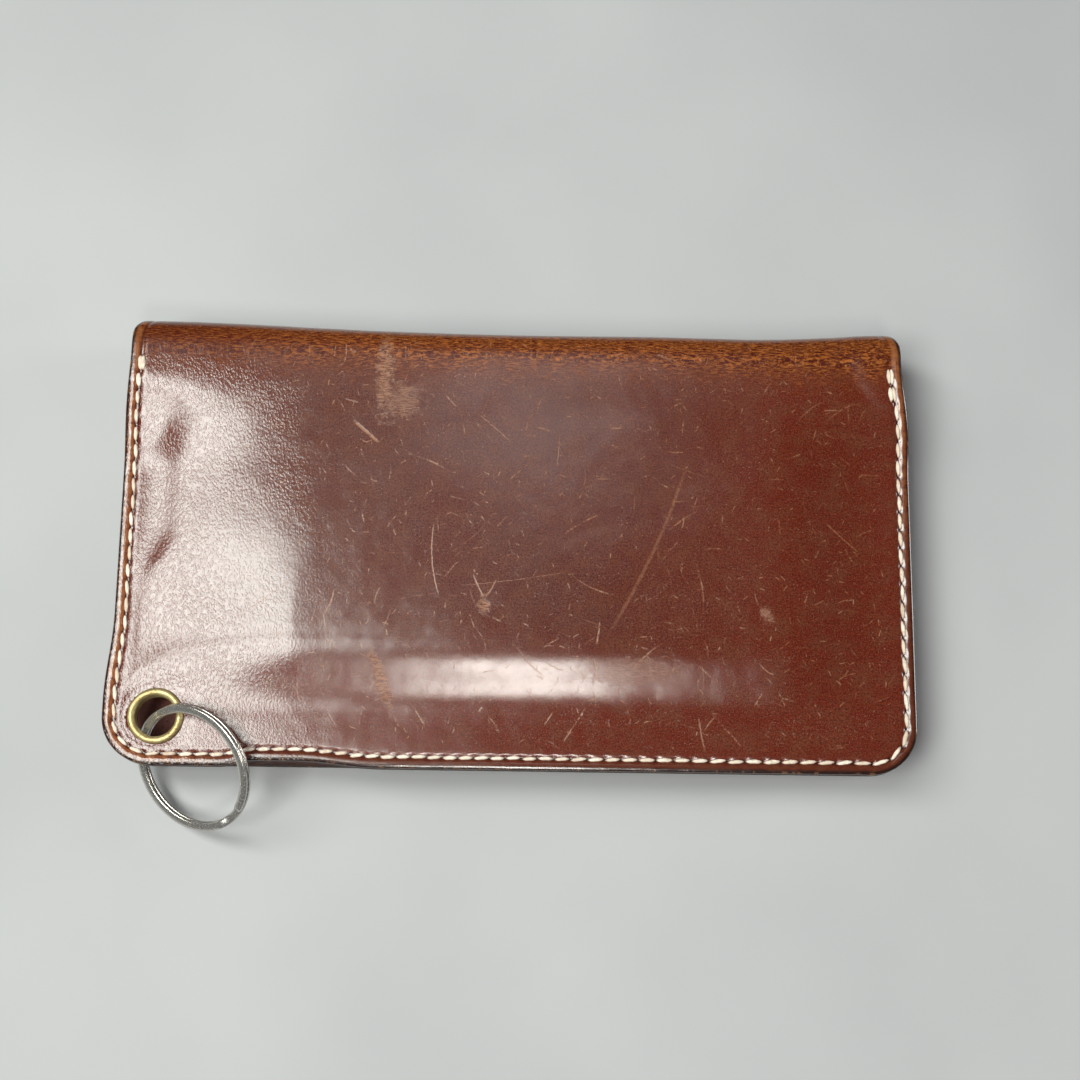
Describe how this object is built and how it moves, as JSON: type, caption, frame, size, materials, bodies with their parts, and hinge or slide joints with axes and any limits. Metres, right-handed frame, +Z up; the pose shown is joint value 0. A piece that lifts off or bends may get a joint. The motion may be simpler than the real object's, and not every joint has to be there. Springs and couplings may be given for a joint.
{
  "type": "bifold wallet",
  "caption": "Long bifold leather wallet with a zipped coin pocket, card pockets, a corner eyelet and a split ring for a chain.",
  "frame": {"origin": "middle of the resting face of the back leaf, level with the surface the wallet lies on", "axes": "+X along the fold with the eyelet at -X, +Y from the opening edge towards the fold, +Z up through the closed stack"},
  "size_m": [0.18, 0.1176, 0.0244],
  "materials": {
    "outer_leather": "oiled, worn, burnished dark at the edges",
    "lining_leather": "matt",
    "zip_tape": "woven",
    "zip_metal": "satin",
    "eyelet_brass": "antique",
    "ring_steel": "polished with light wear",
    "thread": "waxed thread"
  },
  "bodies": {
    "back_leaf": {"shell_back": "outer_leather", "back_lining": "lining_leather", "slip_pocket": "lining_leather", "card_pocket_rear": "lining_leather", "card_pocket_middle": "lining_leather", "card_pocket_front": "lining_leather", "seam_back": "thread", "seam_divider": "thread"},
    "fold": {"shell_spine": "outer_leather"},
    "front_leaf": {"shell_front": "outer_leather", "front_lining": "lining_leather", "zip_panel": "lining_leather", "zip_tape_upper": "zip_tape", "zip_tape_lower": "zip_tape", "zip_teeth_upper": "zip_metal", "zip_teeth_lower": "zip_metal", "zip_stop_closed": "zip_metal", "zip_stop_open": "zip_metal", "eyelet_barrel": "eyelet_brass", "eyelet_washer": "eyelet_brass", "seam_front": "thread", "seam_coin_end": "thread", "seam_zip_upper": "thread", "seam_zip_lower": "thread"},
    "slider": {"zip_slider": "zip_metal"},
    "pull": {"zip_pull": "zip_metal"},
    "ring": {"split_ring": "ring_steel"}
  },
  "joints": [
    {"name": "fold_back", "type": "hinge", "parent": "back_leaf", "child": "fold", "pos_m": [0, 0.05, 0.002], "axis": [-1, 0, 0], "range_deg": [0, 90]},
    {"name": "fold_front", "type": "hinge", "parent": "fold", "child": "front_leaf", "pos_m": [0, 0.05, 0.019], "axis": [-1, 0, 0], "range_deg": [0, 90]},
    {"name": "zip_slide", "type": "slide", "parent": "front_leaf", "child": "slider", "axis": [-1, 0, 0], "range_m": [0, 0.108]},
    {"name": "pull_flip", "type": "hinge", "parent": "slider", "child": "pull", "pos_m": [0.068, 0.03, 0.0085], "axis": [0, -1, 0], "range_deg": [0, 22]},
    {"name": "ring_swivel", "type": "hinge", "parent": "front_leaf", "child": "ring", "pos_m": [-0.0793, -0.041, 0.01545], "axis": [0, 0, 1], "range_deg": [-135, 10]}
  ],
  "couplings": [
    {"joint": "fold_front", "follows": "fold_back", "ratio": 1}
  ]
}
